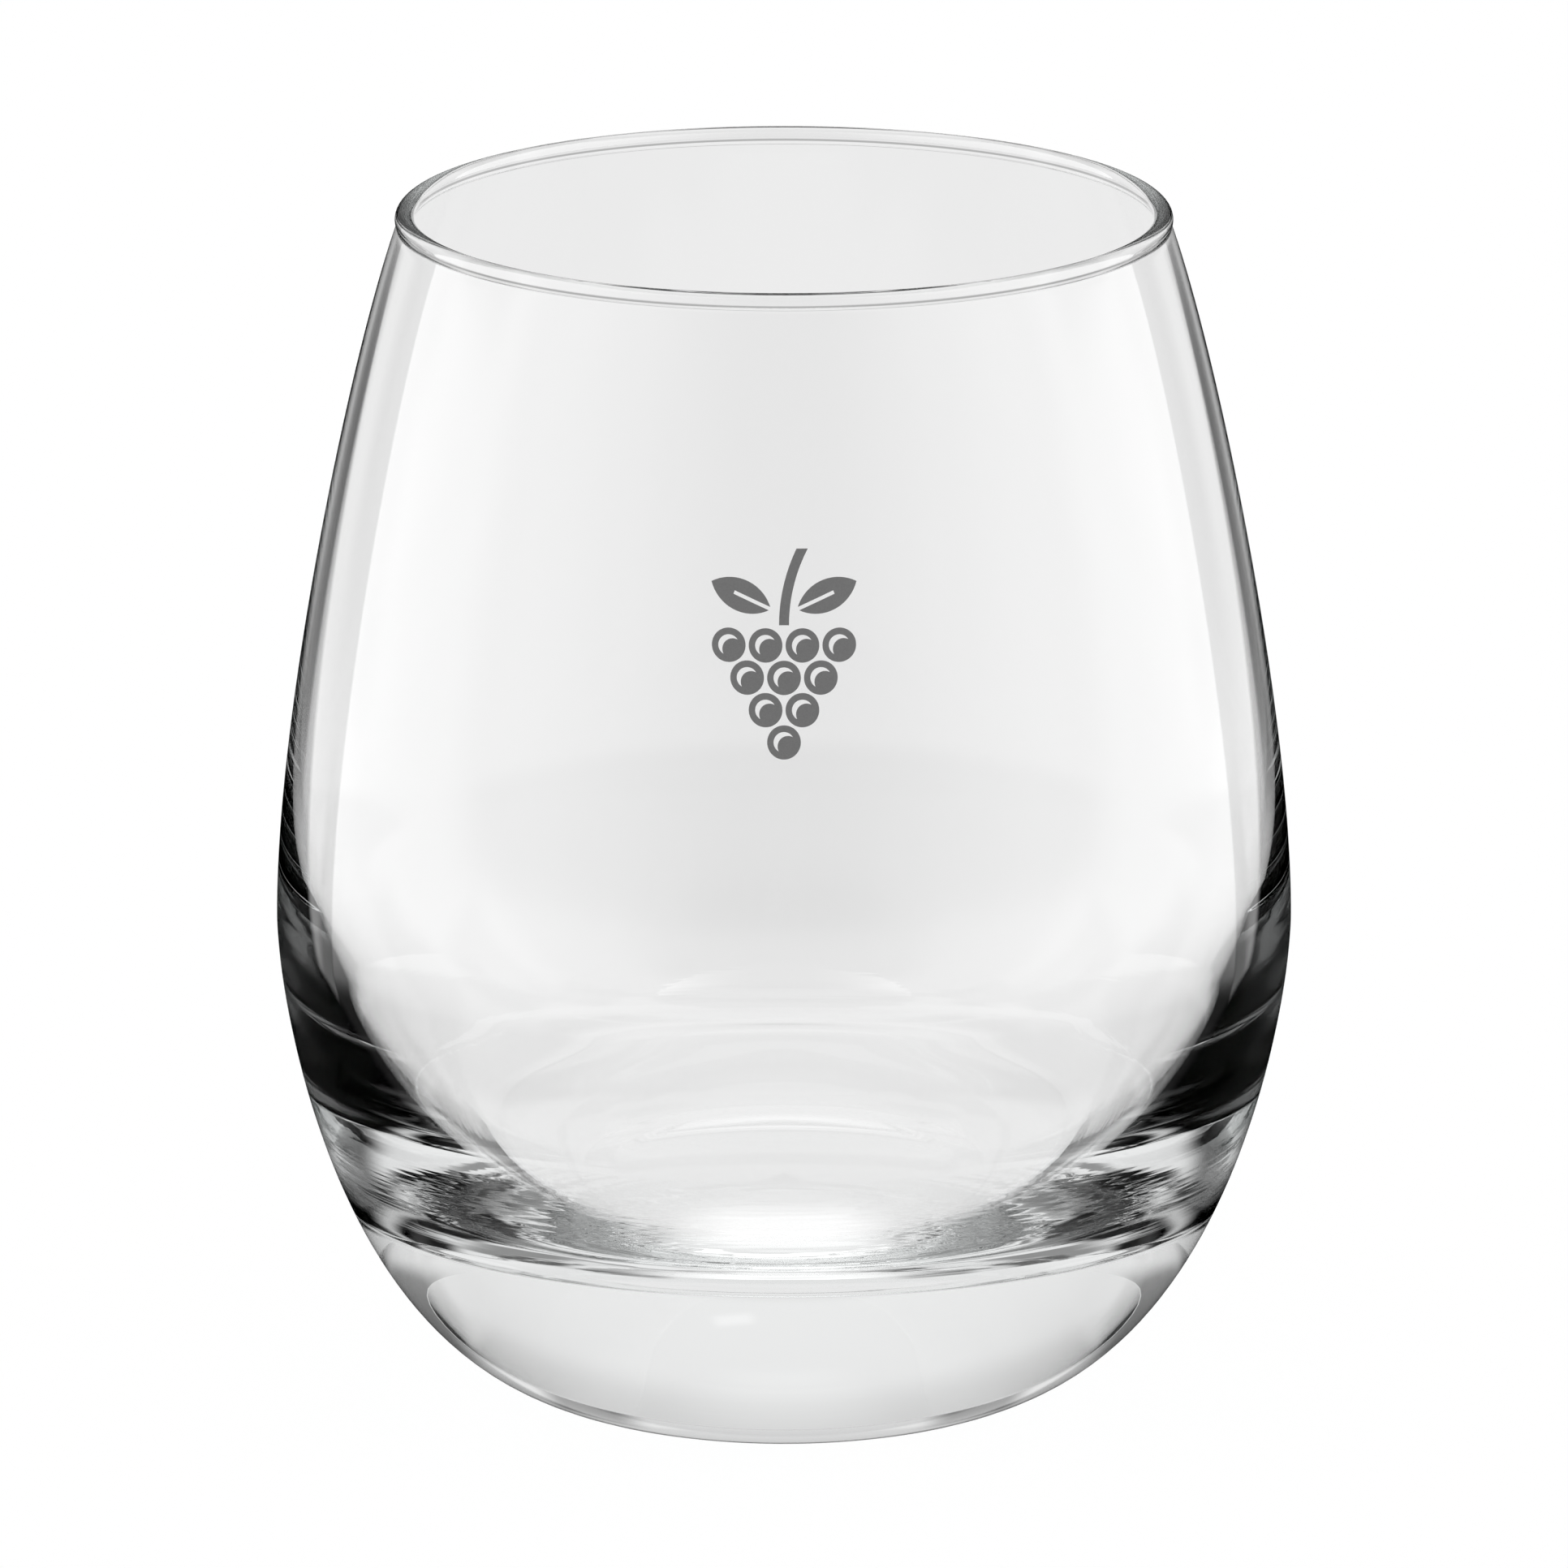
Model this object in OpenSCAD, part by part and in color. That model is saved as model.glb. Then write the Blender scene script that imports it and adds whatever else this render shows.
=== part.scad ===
// Stemless wine glass: an egg-shaped tumbler with a narrow mouth, a rounded lip, a thin wall that
// thickens into a heavy base, and a small one-colour print on the front of the wall.
// The axis is Z, the glass stands on z = 0, and the print faces -Y. All sizes are in millimetres.

/* [Outside] */
// Height of the glass, foot to lip
glass_h = 100; // [85:1:120]
// Widest outside diameter
belly_d = 84; // [74:1:100]
// Height of the widest point
belly_z = 40.4; // [32:0.2:50]
// Outside diameter of the lip
mouth_d = 63.8; // [52:0.2:72]
// Outside diameter of the ring that the glass stands on
foot_d = 37; // [30:0.5:42]

/* [Wall and base] */
// Thickness of the wall just under the lip
wall = 1.2; // [0.9:0.05:2]
// How far the rounded lip stands proud of the wall outside
lip_step = 0.35; // [0.25:0.05:0.6]
// How far the rounded lip stands proud of the wall inside
lip_inset = 0.05; // [0.03:0.01:0.2]
// How much smaller the bowl's widest radius is than the outside's
belly_wall = 1.8; // [1.4:0.1:3]
// Thickness of the base in the middle of the floor, measured from the table
base_t = 17.5; // [12:0.5:22]
// Diameter of the flat floor inside the bowl
floor_d = 50; // [40:0.5:56]
// Width of the flat ring that the glass stands on
ring_w = 2.6; // [2:0.1:6]
// Depth of the hollow under the foot
punt_h = 0.5; // [0.3:0.1:2]

/* [Print] */
// Diameter of one printed grape
grape_d = 2.7; // [2:0.1:3.6]
// Bare glass between two grapes
grape_gap = 0.25; // [0.15:0.05:0.6]
// Rows of grapes; each row has one grape more than the row below it
grape_rows = 4; // [3:1:5]
// Length of one leaf
leaf_l = 5.2; // [3.5:0.1:7]
// Width of one leaf
leaf_w = 2.5; // [1.6:0.1:3.5]
// Tilt of the leaves above the level
leaf_tilt = 24; // [10:1:40]
// Width of the slit along the middle of a leaf
vein_w = 0.3; // [0.2:0.05:0.5]
// Width of the stem
stem_w = 0.8; // [0.5:0.05:1.2]
// Length of the stem
stem_l = 6; // [4:0.2:9]
// Thickness of the ink
ink_t = 0.08; // [0.05:0.01:0.2]

/* [Hidden] */

$fn = 192;
// Straight steps along one curve of the outline
curve_steps = 28;

// Lip
lip_d = wall + lip_step + lip_inset;
lip_r = lip_d / 2;
lip_z = glass_h - lip_r;
lip_axis_r = mouth_d / 2 - lip_r;

// Ends of the outside curves
belly_r = belly_d / 2;
foot_r = foot_d / 2;
neck_r = mouth_d / 2 - lip_step;

// Ends of the inside curves; the bowl is widest a little above the outside's widest point
bowl_lift_share = 0.1;
bowl_z = belly_z + bowl_lift_share * (lip_z - belly_z);
bowl_r = belly_r - belly_wall;
bowl_neck_r = neck_r - wall;
floor_r = floor_d / 2;

// Handles of the curves, as shares of the width and the height that each curve spans
heel_handle_shares = [0.793, 0.075];
belly_drop_share = 0.183;
belly_rise_share = 0.27;
neck_handle_shares = [0.41, 0.207];
floor_handle_shares = [0.33, 0];
bowl_drop_share = 0.494;
bowl_rise_share = 0.255;

// Print
print_height_share = 0.72;
grape_pitch = grape_d + grape_gap;
row_rise = grape_pitch * sin(60);
bunch_h = (grape_rows - 1) * row_rise + grape_d;
leaf_gap = grape_gap;
print_h = bunch_h + leaf_gap + stem_l;
print_foot_z = print_height_share * glass_h - print_h / 2;
shine_share = 0.62;
shine_shift_share = 0.24;
vein_share = 0.62;
stem_bend_share = 2.2;
// Bare gap between the ink and the glass, so that the two solids do not share a face
ink_gap = 0.02;

// One point of a cubic Bezier curve
function bezier_point(p, t) =
    pow(1 - t, 3) * p[0] + 3 * pow(1 - t, 2) * t * p[1] + 3 * (1 - t) * t * t * p[2] + pow(t, 3) * p[3];

// All points of a cubic Bezier curve
function curve(p) = [for (i = [0 : curve_steps]) bezier_point(p, i / curve_steps)];

// The points of a list without its first one, so that two curves can share an end
function tail(points) = [for (i = [1 : len(points) - 1]) points[i]];

function reversed(points) = [for (i = [len(points) - 1 : -1 : 0]) points[i]];

// A curve that leaves the low spot a and ends upright at b
function rising_curve(a, b, handle_shares, drop_share) =
    let (span = b - a)
    curve([
        a,
        a + [handle_shares[0] * span[0], handle_shares[1] * span[1]],
        b - [0, drop_share * span[1]],
        b,
    ]);

// A curve that starts upright at a and leans in to the neck at b
function closing_curve(a, b, rise_share) =
    let (span = b - a)
    curve([
        a,
        a + [0, rise_share * span[1]],
        b - [neck_handle_shares[0] * span[0], neck_handle_shares[1] * span[1]],
        b,
    ]);

heel_curve = rising_curve([foot_r, 0], [belly_r, belly_z], heel_handle_shares, belly_drop_share);
wall_curve = closing_curve([belly_r, belly_z], [neck_r, lip_z], belly_rise_share);
bowl_curve = rising_curve([floor_r, base_t], [bowl_r, bowl_z], floor_handle_shares, bowl_drop_share);
lining_curve = closing_curve([bowl_r, bowl_z], [bowl_neck_r, lip_z], bowl_rise_share);

// Half section of the wall and the base, without the lip and the hollow under the foot
module wall_section() {
    polygon(concat(
        [[0, 0]],
        heel_curve,
        tail(wall_curve),
        reversed(tail(lining_curve)),
        reversed(bowl_curve),
        [[0, base_t]]
    ));
}

// Circle whose cap is the hollow under the foot
module punt_section() {
    punt_r = foot_r - ring_w;
    cap_r = (punt_r * punt_r + punt_h * punt_h) / (2 * punt_h);
    translate([0, punt_h - cap_r]) circle(r = cap_r);
}

module glass_body() {
    color("gainsboro", 0.35)
    rotate_extrude()
    difference() {
        union() {
            wall_section();
            translate([lip_axis_r, lip_z]) circle(r = lip_r);
        }
        punt_section();
    }
}

// The skin of ink that would cover the whole upper wall
module ink_skin() {
    inner_face = [for (p = wall_curve) p + [ink_gap, 0]];
    outer_face = [for (p = wall_curve) p + [ink_gap + ink_t, 0]];
    rotate_extrude() polygon(concat(inner_face, reversed(outer_face)));
}

// Ink on the front of the wall, in the outline drawn by the children
module printed() {
    color("dimgray")
    intersection() {
        ink_skin();
        rotate([90, 0, 0])
        linear_extrude(height = belly_d)
        translate([0, print_foot_z])
        children();
    }
}

// A grape: a disc with a crescent of bare glass as its shine
module grape() {
    difference() {
        circle(d = grape_d);
        difference() {
            circle(d = shine_share * grape_d);
            translate([shine_shift_share, -shine_shift_share] * grape_d / 2)
            circle(d = shine_share * grape_d);
        }
    }
}

module print_grapes() {
    printed()
    for (row = [0 : grape_rows - 1], column = [0 : row])
        translate([(column - row / 2) * grape_pitch, grape_d / 2 + row * row_rise])
        grape();
}

// A leaf that points along +X from its stalk: two arcs with a slit along the vein
module leaf() {
    half_l = leaf_l / 2;
    half_w = leaf_w / 2;
    arc_r = (half_l * half_l + half_w * half_w) / leaf_w;
    translate([half_l, 0])
    difference() {
        intersection() {
            translate([0, arc_r - half_w]) circle(r = arc_r);
            translate([0, half_w - arc_r]) circle(r = arc_r);
        }
        translate([-half_l, -vein_w / 2]) square([vein_share * leaf_l, vein_w]);
    }
}

module print_leaves() {
    stalk_x = stem_w + leaf_gap;
    stalk_y = bunch_h + leaf_gap + leaf_w / 2;
    printed()
    for (side = [0, 1])
        mirror([side, 0])
        translate([stalk_x, stalk_y])
        rotate(leaf_tilt)
        leaf();
}

// A stem that bends to one side as it rises
module print_stem() {
    bend_r = stem_bend_share * stem_l;
    printed()
    translate([0, bunch_h + leaf_gap])
    intersection() {
        translate([bend_r, 0])
        difference() {
            circle(r = bend_r + stem_w / 2);
            circle(r = bend_r - stem_w / 2);
        }
        translate([-stem_w, 0]) square([bend_r, stem_l]);
    }
}

glass_body();
print_grapes();
print_leaves();
print_stem();
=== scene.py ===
# %% [markdown]
# # A stemless wine glass
# The object is a tumbler of clear glass: an egg-shaped wall, a rounded lip, a heavy base, and a small
# grey print on the front. The packed model is loaded first. It fixes every size, and all that is made
# here sits in its frame: metres, the axis along Z, the foot on z = 0 and the print facing -Y.

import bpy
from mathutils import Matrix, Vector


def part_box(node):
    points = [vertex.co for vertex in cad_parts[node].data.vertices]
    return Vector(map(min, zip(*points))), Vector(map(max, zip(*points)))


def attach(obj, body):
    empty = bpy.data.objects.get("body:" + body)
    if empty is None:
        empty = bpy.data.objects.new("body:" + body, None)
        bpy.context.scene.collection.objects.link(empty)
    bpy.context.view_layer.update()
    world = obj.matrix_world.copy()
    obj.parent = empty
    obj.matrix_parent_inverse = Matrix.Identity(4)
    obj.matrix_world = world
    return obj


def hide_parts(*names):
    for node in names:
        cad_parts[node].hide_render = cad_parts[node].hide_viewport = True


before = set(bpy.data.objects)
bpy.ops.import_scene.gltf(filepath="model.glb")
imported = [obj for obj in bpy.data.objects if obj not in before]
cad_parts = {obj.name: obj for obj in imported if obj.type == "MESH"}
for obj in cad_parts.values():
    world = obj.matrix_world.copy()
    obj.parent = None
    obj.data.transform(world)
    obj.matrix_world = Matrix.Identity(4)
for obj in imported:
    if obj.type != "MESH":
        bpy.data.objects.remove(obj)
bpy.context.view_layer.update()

# %% [markdown]
# ## Two habits
# Operators act on whatever is selected, so every step first clears the selection and then picks its
# own piece. That is what a person does with the mouse, and forgetting it is the most common slip.

# %% Tools used in every step
import math

import bpy
from mathutils import Vector

MM = 0.001


def deselect_all():
    """Leave Edit Mode and select nothing."""
    if bpy.context.object and bpy.context.object.mode != "OBJECT":
        bpy.ops.object.mode_set(mode="OBJECT")
    bpy.ops.object.select_all(action="DESELECT")


def make_active(thing):
    """Select one object alone, as a click on it would."""
    deselect_all()
    thing.select_set(True)
    bpy.context.view_layer.objects.active = thing


print("lengths are in metres, and a millimetre is", MM)

# %% [markdown]
# ## The half section of the glass
# A glass like this is pressed and then blown in a turning mould, so one half section says all there is
# to say about its shape. It could be stacked from rings, but a Bezier curve is what a mould maker draws:
# a few points, each with a handle that says how the curve leaves it. The outside and the inside are
# separate curves, because the wall is thin at the lip and grows into a heavy base.

# %% Sizes of the section
BOWL_RISE = 0.1

glass_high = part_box("glass_body")[1]
glass_h = glass_high.z
belly_r = glass_high.x
belly_z = 40.4 * MM
mouth_r = 31.9 * MM
foot_r = 18.5 * MM
wall = 1.2 * MM
lip_step = 0.35 * MM
lip_r = 0.8 * MM
belly_wall = 1.95 * MM
base_t = 17.5 * MM
floor_r = 25.25 * MM
ring_w = 2.6 * MM
punt_h = 0.5 * MM

lip_z = glass_h - lip_r
bowl_z = belly_z + BOWL_RISE * (lip_z - belly_z)
print("section: height", round(glass_h / MM, 2), "belly radius", round(belly_r / MM, 2), "mm")

# %% [markdown]
# ## Points to draw through
# A few points fix the section: the foot, the belly, the neck under the lip, and the same inside. A handle
# is given as a share of the way to the next point, so it keeps its form when a size changes.

# %% Points of the section
NECK_HANDLE = (0.41, 0.207)


def at(r, z):
    """A point of the half section, which stands in the XZ plane."""
    return Vector((r, 0, z))


def between(a, b, share_r, share_z):
    """The point that lies these shares of the way from a to b, across and up."""
    return at(a.x + share_r * (b.x - a.x), a.z + share_z * (b.z - a.z))


punt_top = at(0, punt_h)
ring_in = at(foot_r - ring_w, 0)
foot = at(foot_r, 0)
belly = at(belly_r, belly_z)
neck = at(mouth_r - lip_step, lip_z)
lip_axis = at(mouth_r - lip_r, lip_z)
lining_top = at(neck.x - wall, lip_z)
bowl = at(belly_r - belly_wall, bowl_z)
floor_edge = at(floor_r, base_t)
floor_middle = at(0, base_t)
neck_lean = (neck - between(neck, belly, *NECK_HANDLE)).normalized()
lining_lean = (lining_top - between(lining_top, bowl, *NECK_HANDLE)).normalized()

# The wall stops a little under the lip, where the round bead takes over in a soft groove
bead_start = 0.72 * MM
wall_end = neck - bead_start * neck_lean
lining_end = lining_top - bead_start * lining_lean


def on_bead(angle):
    """The point of the lip's bead at this angle from the outside, and the way it runs there."""
    turn = math.radians(angle)
    way = at(-math.sin(turn), math.cos(turn))
    return lip_axis + lip_r * at(math.cos(turn), math.sin(turn)), way


print("the wall ends", round((glass_h - wall_end.z) / MM, 2), "mm under the top of the lip")

# %% [markdown]
# ## The outside
# The outside runs from the middle of the foot, over the ring that the glass stands on, up the egg-shaped
# wall and round the lip. Each stretch is a spline of its own, because the ring has sharp edges and the
# lip needs finer steps than the wall.

# %% Draw the outside
FLAT_HANDLE = 0.33
FOOT_HANDLE = (0.793, 0.075)
BELLY_DOWN = 0.183
BELLY_UP = 0.27
BEAD_ANGLES = (-30, 90, 205)


def new_section(name):
    """A curve object with nothing in it yet."""
    deselect_all()
    bpy.ops.curve.primitive_bezier_curve_add(location=(0, 0, 0))
    drawn = bpy.context.object
    drawn.name = name
    drawn.data.dimensions = "3D"
    drawn.data.splines.clear()
    return drawn


def add_stretch(drawn, steps, knots):
    """One stretch of a section. A knot is (handle before, point, handle after)."""
    spline = drawn.data.splines.new("BEZIER")
    spline.bezier_points.add(len(knots) - 1)
    spline.resolution_u = steps
    for spot, (before, point, after) in zip(spline.bezier_points, knots):
        spot.handle_left_type = "FREE"
        spot.handle_right_type = "FREE"
        spot.co = point
        spot.handle_left = before
        spot.handle_right = after


glass = new_section("glass")
add_stretch(glass, 14, [
    (punt_top, punt_top, between(punt_top, ring_in, FLAT_HANDLE, 0)),
    (between(ring_in, punt_top, FLAT_HANDLE, 2 * FLAT_HANDLE), ring_in, ring_in),
])
add_stretch(glass, 6, [(ring_in, ring_in, ring_in), (foot, foot, foot)])
add_stretch(glass, 48, [
    (foot, foot, between(foot, belly, *FOOT_HANDLE)),
    (between(belly, foot, 0, BELLY_DOWN), belly, between(belly, wall_end, 0, BELLY_UP)),
    (between(wall_end, belly, *NECK_HANDLE), wall_end, wall_end),
])
(bead_out, out_way), (bead_top, top_way), (bead_in, in_way) = map(on_bead, BEAD_ANGLES)
bead_arc = 0.75 * lip_r
groove = 0.09 * MM
add_stretch(glass, 12, [
    (wall_end, wall_end, wall_end + groove * neck_lean),
    (bead_out - groove * out_way, bead_out, bead_out + bead_arc * out_way),
    (bead_top - bead_arc * top_way, bead_top, bead_top + bead_arc * top_way),
    (bead_in - bead_arc * in_way, bead_in, bead_in + groove * in_way),
    (lining_end + groove * lining_lean, lining_end, lining_end),
])
print("outside drawn with", len(glass.data.splines), "stretches")

# %% [markdown]
# ## The inside
# The inside of the bowl is a curve of its own, because a plunger shapes it and not the mould. Its lower
# stretch gets many steps: the ripples of a later step need points to move.

# %% Draw the inside
BOWL_UP = 0.255
BOWL_DOWN = 0.492
FLOOR_OUT = 0.396
FINE_FROM = 0.45
FINE_STEPS = 240


def split_curve(share, a, b, c, d):
    """The two Bezier stretches that meet at this share of the curve from a to d."""
    ab = a.lerp(b, share)
    bc = b.lerp(c, share)
    cd = c.lerp(d, share)
    abc = ab.lerp(bc, share)
    bcd = bc.lerp(cd, share)
    middle = abc.lerp(bcd, share)
    return (a, ab, abc, middle), (middle, bcd, cd, d)


lining = new_section("lining")
add_stretch(lining, 36, [
    (lining_end, lining_end, between(lining_end, bowl, *NECK_HANDLE)),
    (between(bowl, lining_end, 0, BOWL_UP), bowl, bowl),
])
bowl_handle = between(bowl, floor_edge, 0, BOWL_DOWN)
floor_handle = between(floor_edge, bowl, FLOOR_OUT, 0)
upper, lower = split_curve(FINE_FROM, bowl, bowl_handle, floor_handle, floor_edge)
add_stretch(lining, 40, [(upper[0], upper[0], upper[1]), (upper[2], upper[3], upper[3])])
add_stretch(lining, FINE_STEPS, [(lower[0], lower[0], lower[1]), (lower[2], lower[3], lower[3])])
print("fine rows start", round(lower[0].z / MM, 1), "mm above the table")
add_stretch(lining, 24, [
    (floor_edge, floor_edge, between(floor_edge, floor_middle, FLAT_HANDLE, 0)),
    (between(floor_middle, floor_edge, FLAT_HANDLE, 0), floor_middle, floor_middle),
])
print("inside drawn with", len(lining.data.splines), "stretches")

# %% [markdown]
# ## Spin the two sections
# A section becomes a chain of short edges, and Spin turns it about the axis, as the mould turns about
# the blown glass. The seam and the ends on the axis come out doubled, so they are merged, and then the
# normals are made to agree.

# %% Spin them
SPIN_STEPS = 176
WELD = 0.001 * MM


def weld():
    """Merge doubled points and make the faces of the active mesh agree on their outside."""
    bpy.ops.object.mode_set(mode="EDIT")
    bpy.ops.mesh.select_all(action="SELECT")
    bpy.ops.mesh.remove_doubles(threshold=WELD)
    bpy.ops.mesh.normals_make_consistent(inside=False)
    bpy.ops.object.mode_set(mode="OBJECT")


def turn_on_axis(drawn):
    """Turn a drawn section into a surface of revolution."""
    make_active(drawn)
    bpy.ops.object.convert(target="MESH")
    bpy.ops.object.mode_set(mode="EDIT")
    bpy.ops.mesh.select_all(action="SELECT")
    bpy.ops.mesh.remove_doubles(threshold=WELD)
    bpy.ops.mesh.spin(steps=SPIN_STEPS, angle=math.tau, center=(0, 0, 0), axis=(0, 0, 1))
    weld()
    print(drawn.name, "spun into", len(drawn.data.polygons), "faces")


turn_on_axis(glass)
turn_on_axis(lining)

# %% [markdown]
# ## Ripples in the bowl
# Hot glass chills where the plunger touches it, and low in the bowl that leaves long, flat ripples. They
# are only about a hundredth of a millimetre high, but light that is thrown about in the base shows them
# as dark and bright streaks. A Displace modifier pushes the points along their normals by a cloud texture.
# The empty that carries the texture is squeezed in height, so the clouds lie flat, and a vertex group
# keeps the upper wall and the floor smooth.

# %% Push the ripples in
RIPPLE_TOP = 28 * MM
RIPPLE_FADE = 8 * MM
RIPPLE_HEIGHT = 0.012 * MM
RIPPLE_START = 23.5 * MM
RIPPLE_GROWTH = 3 * MM

group = lining.vertex_groups.new(name="ripple")
for point in lining.data.vertices:
    below_top = (RIPPLE_TOP - point.co.z) / RIPPLE_FADE
    off_floor = (math.hypot(point.co.x, point.co.y) - RIPPLE_START) / RIPPLE_GROWTH
    group.add([point.index], max(0.0, min(1.0, below_top, off_floor)), "REPLACE")

clouds = bpy.data.textures.new("ripple_clouds", "CLOUDS")
clouds.noise_scale = 1.0
clouds.noise_depth = 1
deselect_all()
bpy.ops.object.empty_add(location=(0, 0, 0))
squeeze = bpy.context.object
squeeze.scale = (10 * MM, 10 * MM, 0.3 * MM)

make_active(lining)
bpy.ops.object.modifier_add(type="DISPLACE")
push = lining.modifiers[-1]
push.texture = clouds
push.texture_coords = "OBJECT"
push.texture_coords_object = squeeze
push.vertex_group = group.name
push.strength = RIPPLE_HEIGHT
push.mid_level = 0.5
bpy.ops.object.modifier_apply(modifier=push.name)
make_active(squeeze)
bpy.ops.object.delete()
print("ripples up to", round(RIPPLE_TOP / MM), "mm above the table")

# %% [markdown]
# ## One closed piece of glass
# Glass bends light rightly only when its surface is closed and has a true outside. So the two surfaces
# are joined, the points along the lip where they meet are merged, and the normals are made to point out
# of the glass.

# %% Join outside and inside
make_active(glass)
lining.select_set(True)
bpy.ops.object.join()
weld()
bpy.ops.object.shade_smooth()
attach(glass, "root")
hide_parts("glass_body")
triangles = sum(len(face.vertices) - 2 for face in glass.data.polygons)
print("glass has", triangles, "triangles")

# %% [markdown]
# ## Shader maths
# Materials are written as sums, as one would on paper. A small class holds a socket, and each operator
# on it adds the Math node that does the same.


# %% A socket that can be reckoned with
class Wire:
    """A socket of a node tree. Operators on it add Math nodes."""

    def __init__(self, tree, socket=None):
        self.tree = tree
        self.socket = socket

    def node(self, kind, settings=None, inputs=None, out=0):
        """Add any node: first its settings, then the values or links of its sockets."""
        made = self.tree.nodes.new(kind)
        for name, value in (settings or {}).items():
            setattr(made, name, value)
        for key, value in (inputs or {}).items():
            if isinstance(value, Wire):
                self.tree.links.new(value.socket, made.inputs[key])
            else:
                made.inputs[key].default_value = value
        return Wire(self.tree, made.outputs[out]) if made.outputs else None

    def maths(self, operation, *values):
        """Add a Math node."""
        return self.node("ShaderNodeMath", {"operation": operation}, dict(enumerate(values)))

    def eased(self, start, end, low=0.0, high=1.0):
        """Goes smoothly from low to high as this value goes from start to end."""
        ranges = {"From Min": start, "From Max": end, "To Min": low, "To Max": high}
        settings = {"interpolation_type": "SMOOTHSTEP"}
        return self.node("ShaderNodeMapRange", settings, {"Value": self, **ranges})

    def __add__(self, other):
        return self.maths("ADD", self, other)

    def __radd__(self, other):
        return self.maths("ADD", other, self)

    def __sub__(self, other):
        return self.maths("SUBTRACT", self, other)

    def __rsub__(self, other):
        return self.maths("SUBTRACT", other, self)

    def __mul__(self, other):
        return self.maths("MULTIPLY", self, other)

    def __rmul__(self, other):
        return self.maths("MULTIPLY", other, self)


def new_material(name):
    """A material with an empty node tree, and the wire that adds nodes to it."""
    material = bpy.data.materials.new(name)
    material.use_nodes = True
    material.node_tree.nodes.clear()
    return material, Wire(material.node_tree)


def dress(thing, material):
    """Give a piece one material."""
    thing.data.materials.clear()
    thing.data.materials.append(material)


print("operators on a wire:", [name for name in vars(Wire) if name.endswith(("add__", "sub__", "mul__"))])

# %% [markdown]
# ## Clear glass
# Tableware like this is soda-lime glass, fire-polished until it is as smooth as water. Its surface needs
# no colour and no roughness: it only bends light, by 1.52. What colour there is comes from depth. A volume
# swallows a little more red than green, so the thin wall stays clear and the thick base turns a touch
# grey-green. A tint on the surface would colour both alike, which is the usual mistake with glass.

# %% Glass material
GLASS_IOR = 1.52
GLASS_DENSITY = 1.5

clear_glass, wire = new_material("clear_glass")
glass_bsdf = wire.node("ShaderNodeBsdfPrincipled", {}, {
    "Base Color": (1, 1, 1, 1),
    "Roughness": 0.0,
    "IOR": GLASS_IOR,
    "Transmission Weight": 1.0,
})
absorption = wire.node("ShaderNodeVolumeAbsorption", {}, {
    "Color": (0.86, 0.93, 0.92, 1),
    "Density": GLASS_DENSITY,
})
wire.node("ShaderNodeOutputMaterial", {}, {"Surface": glass_bsdf, "Volume": absorption})
dress(glass, clear_glass)
print("glass bends light by", GLASS_IOR, "and is", round(base_t / MM, 1), "mm thick at the base")

# %% [markdown]
# ## Printed ink
# The print is a ceramic ink, pressed through a screen and fired into the surface. Fired ink is satin, and
# under a lens it is full of flecks and pits. A fine noise changes its grey and its shine together. The
# noise reads Object coordinates, so the flecks stay on the print when the glass is turned.

# %% Ink material
FLECK_SCALE = 9000.0
OBJECT_COORDINATES = 3

ink, wire = new_material("ink")
place = wire.node("ShaderNodeTexCoord", out=OBJECT_COORDINATES)
grain = wire.node("ShaderNodeTexNoise", {}, {"Vector": place, "Scale": FLECK_SCALE, "Detail": 3.0})
ink_tone = grain.eased(0.3, 0.7, 0.125, 0.145)
ink_colour = wire.node("ShaderNodeCombineColor", {}, {"Red": ink_tone, "Green": ink_tone, "Blue": ink_tone})
ink_bsdf = wire.node("ShaderNodeBsdfPrincipled", {}, {
    "Base Color": ink_colour,
    "Roughness": grain.eased(0.3, 0.7, 0.4, 0.55),
})
wire.node("ShaderNodeOutputMaterial", {}, {"Surface": ink_bsdf})
for name in ("print_grapes", "print_leaves", "print_stem"):
    dress(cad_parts[name], ink)
    print(name, "has ink")

# %% [markdown]
# ## Table
# The glass stands on a plain white table. It runs far past the picture, so that no edge of it shows. It
# catches the soft light and the shadow, but rays that have met the glass look past it: what they see is
# hung in the sky in the next step, where it can be placed by its angle alone.

# %% Table
TABLE_SIZE = 60

deselect_all()
bpy.ops.mesh.primitive_plane_add(size=TABLE_SIZE)
table = bpy.context.object
table.name = "table"
table.visible_glossy = False
table.visible_transmission = False
pale, wire = new_material("pale_table")
pale_bsdf = wire.node("ShaderNodeBsdfDiffuse", {}, {"Color": (1, 1, 1, 1)})
wire.node("ShaderNodeOutputMaterial", {}, {"Surface": pale_bsdf})
dress(table, pale)
print("table is", TABLE_SIZE, "m wide")

# %% [markdown]
# ## Studio
# Clear glass has no look of its own: it shows what is around it. A photographer of glass works in a white
# room and hangs cards and flags in it, and the dark ones draw the edges of the glass. The sky here is that
# room. It lights the table and the ink with an even white, and only rays that have met the glass see the
# cards. Each card is given by two angles round the glass and two heights, in degrees. The angle counts
# from straight behind the glass, alike to the left and the right, and 180 is where the camera stands.

# %% Angles of the sky
DEGREES = 180 / math.pi

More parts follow.
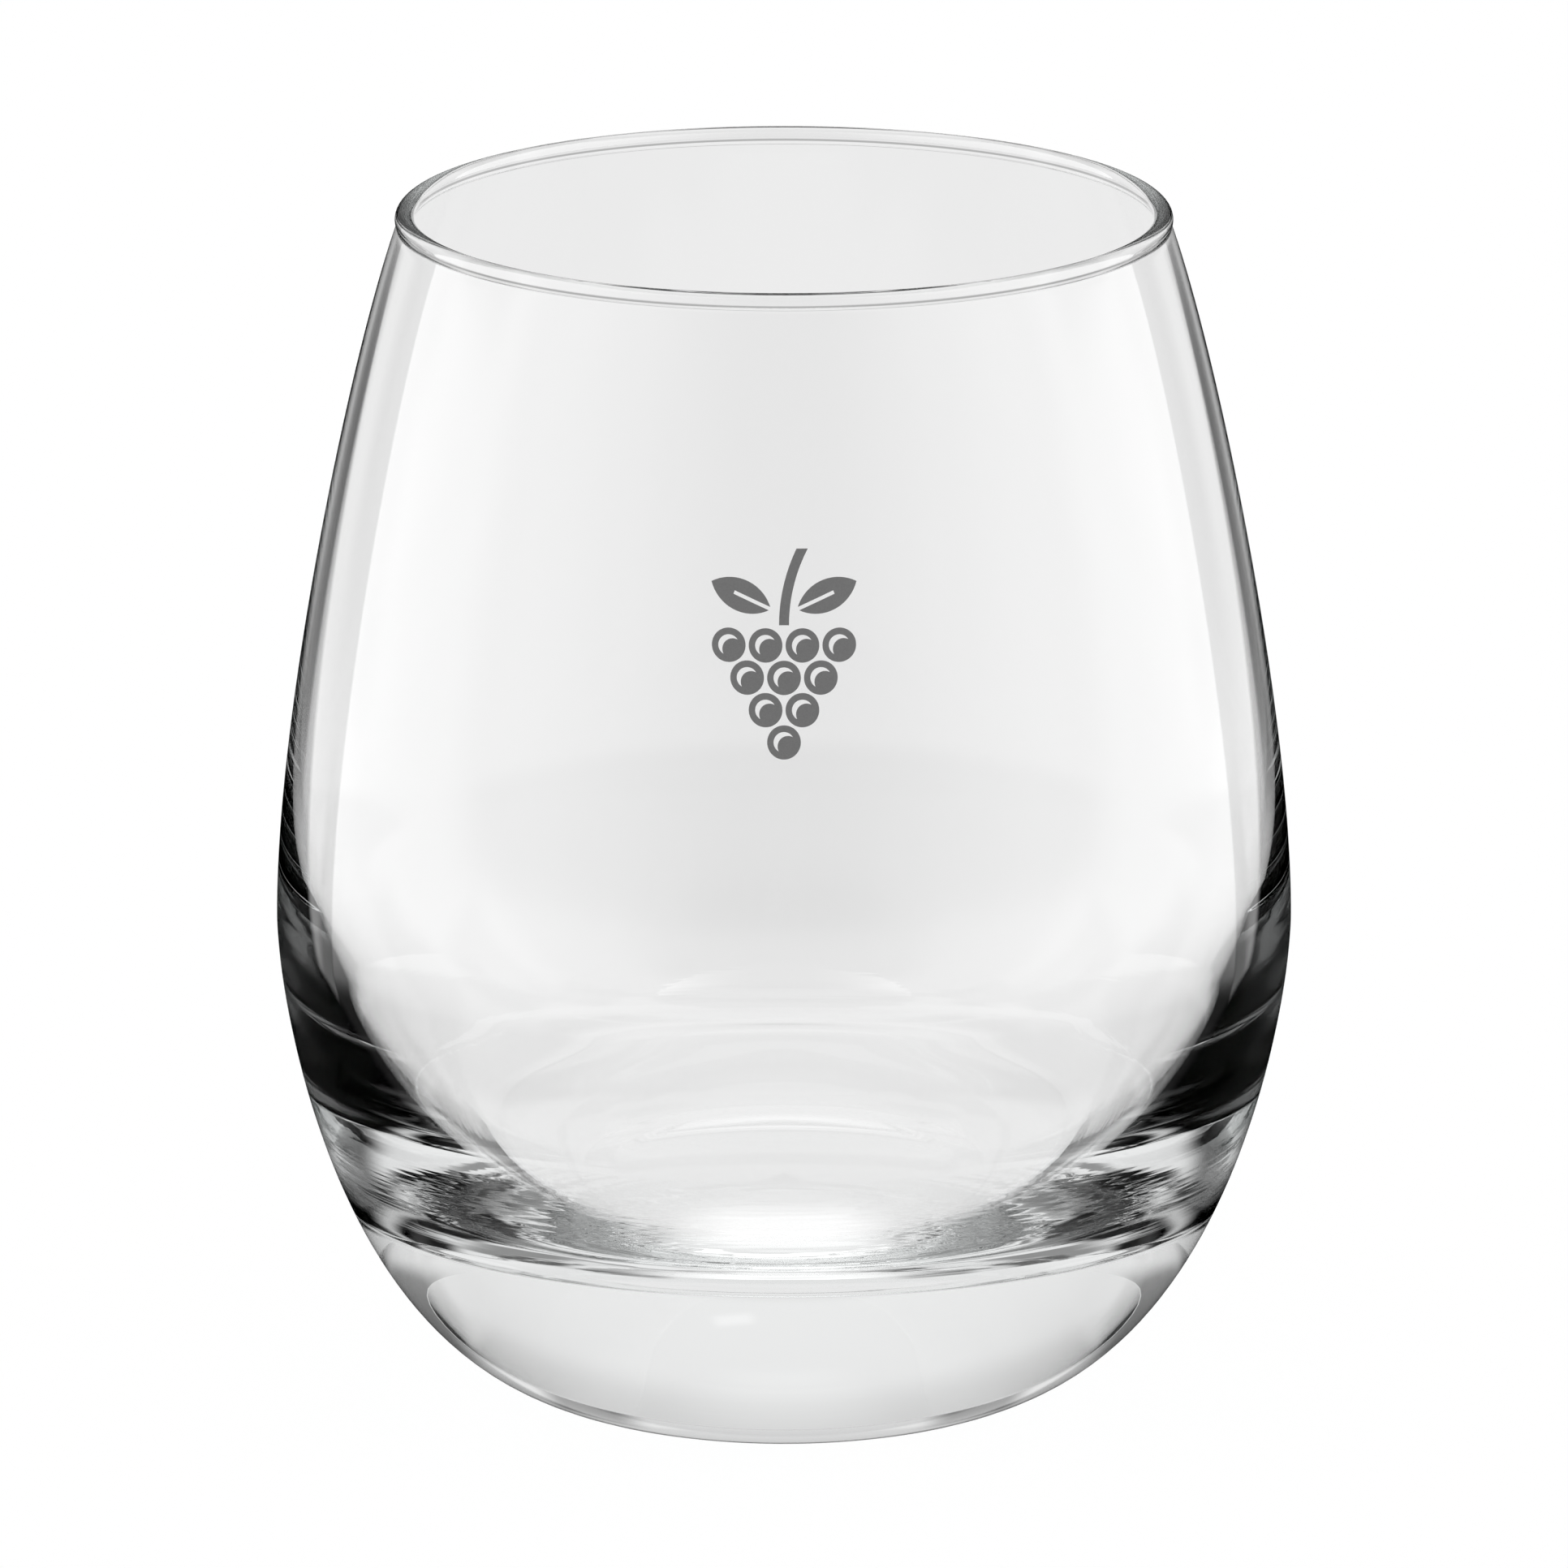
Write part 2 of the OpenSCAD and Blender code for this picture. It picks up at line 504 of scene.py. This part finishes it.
scene = bpy.context.scene
world = bpy.data.worlds.new("studio")
scene.world = world
world.use_nodes = True
world.node_tree.nodes.clear()
wire = Wire(world.node_tree)
direction = wire.node("ShaderNodeTexCoord", out=0)
across, away, up = (wire.node("ShaderNodeSeparateXYZ", {}, {0: direction}, out=i) for i in range(3))
side = wire.maths("ARCTAN2", across, away) * DEGREES
spread = side.maths("ABSOLUTE", side)
rise = wire.maths("ARCSINE", up) * DEGREES
lean = wire.maths("ARCTAN2", across, up) * DEGREES
tilt = lean.maths("ABSOLUTE", lean)
print("the sky is measured in degrees round the glass and up")


# %% [markdown]
# ## What is seen through the glass
# The wall shows what is behind the glass, and the thick base throws the view about and shows the rest of
# the room. So a pale backdrop makes the bowl light, and the dark room behind the camera makes the black
# patches in the base. A later card covers an earlier one, as a card hung in front does.

# %% Cards seen through the glass
def hang(level, cards):
    """Hang cards: name, angle, its two ends, two heights, shade, and softness across and up."""
    for name, angle, start, end, low, high, shade, soft, soft_rise in cards:
        inside = (angle.eased(start - soft, start + soft) * angle.eased(end + soft, end - soft)
                  * rise.eased(low - soft_rise, low + soft_rise)
                  * rise.eased(high + soft_rise, high - soft_rise))
        level = level + inside * (shade - level)
    print(len(cards), "cards hung, the last one the", name)
    return level


seen_through = hang(0.83, [
    ("lower backdrop", spread, -10, 60, 4, 30, 0.9, 10, 6),
    ("upper backdrop", spread, -10, 60, 30, 41, 0.78, 10, 5),
    ("ceiling", spread, -10, 200, 60, 100, 1.0, 10, 4),
    ("gap beside the ceiling light", spread, 14, 60, 46, 66, 0.08, 4, 4),
    ("side flag", spread, 65, 91, 9, 42, 0.0, 5, 4),
    ("ceiling light", tilt, -10, 17, 42, 100, 1.25, 12, 3),
    ("grey above the camera", spread, 106, 200, 38, 68, 0.27, 8, 4),
    ("dark room", spread, 98, 200, -11, 40, 0.0, 8, 4),
    ("dark corner", spread, 100, 150, 38, 56, 0.0, 8, 4),
    ("high side flag", spread, 81, 108, 40, 57, 0.0, 4, 2),
    ("table in front", spread, 135, 200, -60, -14, 1.0, 8, 4),
    ("strip that draws the wall's edge", spread, 16.5, 28, -15, -5.5, 0.2, 2.5, 3.5),
    ("gap at the far edge of the table", spread, -10, 66, 1, 11, 0.45, 6, 2),
    ("gap at the far corners of the table", spread, 41, 62, -8, 14, 0.3, 5, 3),
    ("table behind", spread, -10, 25, -37, -22, 0.845, 8, 3),
    ("table close behind", spread, -10, 24, -59, -45.5, 0.89, 8, 2.5),
    ("table under the sides", spread, 25, 155, -100, -48, 0.86, 8, 3),
    ("table at the sides", spread, 40, 135, -42, -14, 0.9, 8, 3),
    ("dark spot that draws the lip", spread, -10, 22, -102, -60.75, 0.0, 8, 1.25),
])

# %% [markdown]
# ## What the glass mirrors
# A twentieth of the light glances off each face of the glass, more near its edges. Two tall soft boxes at
# the sides give the broad white sheen with its straight, hard edge. Low lights by the table give the hot
# spot over the base and lift the edge of the foot. Between them the room is dark, so that the sheen stands
# out. A slanted line, where the angle and the height trade off, cuts the dark off along the wall.

# %% Cards mirrored in the glass
soft_box = spread.eased(175, 110, 0.5, 2.7)
mirrored = hang(0.15, [
    ("grey at the wall's edge", spread, 27, 56, -36, 30, 0.85, 0.7, 2),
    ("light at the lower edge", spread, 27, 50, -22, -9, 1.5, 2, 2),
    ("dark below the soft box", spread, 56, 90, -40, 60, 0.1, 0.7, 2),
    ("table below the soft box", spread, 90, 200, -40, 60, 0.6, 8, 2),
    ("soft box", spread, 56, 200, -14.5, 60, soft_box, 0.7, 5),
])
slant = rise + 0.53 * spread
mirrored = mirrored * wire.maths("MAXIMUM", slant.eased(9.4, 11.4), rise.eased(-34, -38))
mirrored = hang(mirrored, [
    ("light under the foot's sides", spread, 7, 19, -46, -34, 0.8, 3, 2),
    ("light under the foot", spread, -10, 7, -46, -28, 0.4, 2, 3),
    ("low lamp in front", spread, 154, 200, -53, -46.5, 4.5, 14, 2.2),
    ("small lamp in front", side, -166, -148, -68, -65.5, 1.6, 4, 1),
])

# %% [markdown]
# ## Which ray sees what
# Light Path tells how a ray came to the sky. A ray that left the glass sees the first set of cards, and a
# ray that glanced off it sees the second. All other rays, those of the camera and of the table and the ink
# among them, see plain white at a strength of 1, so the white table renders as white.

# %% Join the sky
path = {name: wire.node("ShaderNodeLightPath", out=name) for name in
        ("Is Glossy Ray", "Is Transmission Ray", "Diffuse Depth")}
met_glass_alone = wire.maths("LESS_THAN", path["Diffuse Depth"], 0.5)
is_through = path["Is Transmission Ray"] * met_glass_alone
is_mirror = path["Is Glossy Ray"] * (1 - path["Is Transmission Ray"]) * met_glass_alone
strength = (1 - is_mirror - is_through) + is_through * seen_through + is_mirror * mirrored
background = wire.node("ShaderNodeBackground", {}, {"Color": (1, 1, 1, 1), "Strength": strength})
wire.node("ShaderNodeOutputWorld", {}, {"Surface": background})
print("the sky has", len(world.node_tree.nodes), "nodes")

# %% [markdown]
# ## Camera
# The picture was taken from far off with a long lens, from a little above the lip. Place and tilt come from
# fitting the outline and the ellipse of the mouth, with the lens counted in pixels of the picture. Light
# can bounce dozens of times in the base before it leaves, so the limits on bounces are high: with low ones
# the base gets black lines that real glass doesn't have.

# %% Camera
FOCAL_PX = 19536.7
IMAGE_PX = 1932
SENSOR_MM = 36
CAMERA_AWAY = 1268 * MM
CAMERA_UP = 385.84 * MM
LOOK_DOWN = 14.785

deselect_all()
bpy.ops.object.camera_add(
    location=(0, -CAMERA_AWAY, CAMERA_UP),
    rotation=(math.radians(90 - LOOK_DOWN), 0, 0),
)
camera = bpy.context.object
camera.data.sensor_width = SENSOR_MM
camera.data.lens = SENSOR_MM * FOCAL_PX / IMAGE_PX
camera.data.clip_start = 0.01
camera.data.clip_end = 100
scene.camera = camera

scene.view_settings.view_transform = "Standard"
scene.cycles.max_bounces = 80
scene.cycles.glossy_bounces = 72
scene.cycles.transmission_bounces = 32
scene.cycles.blur_glossy = 0.0
print("lens of", round(camera.data.lens), "mm")

# %% [markdown]
# ## The size
# The dressed glass has to fill the same box as the packed model, or the two no longer describe one object.
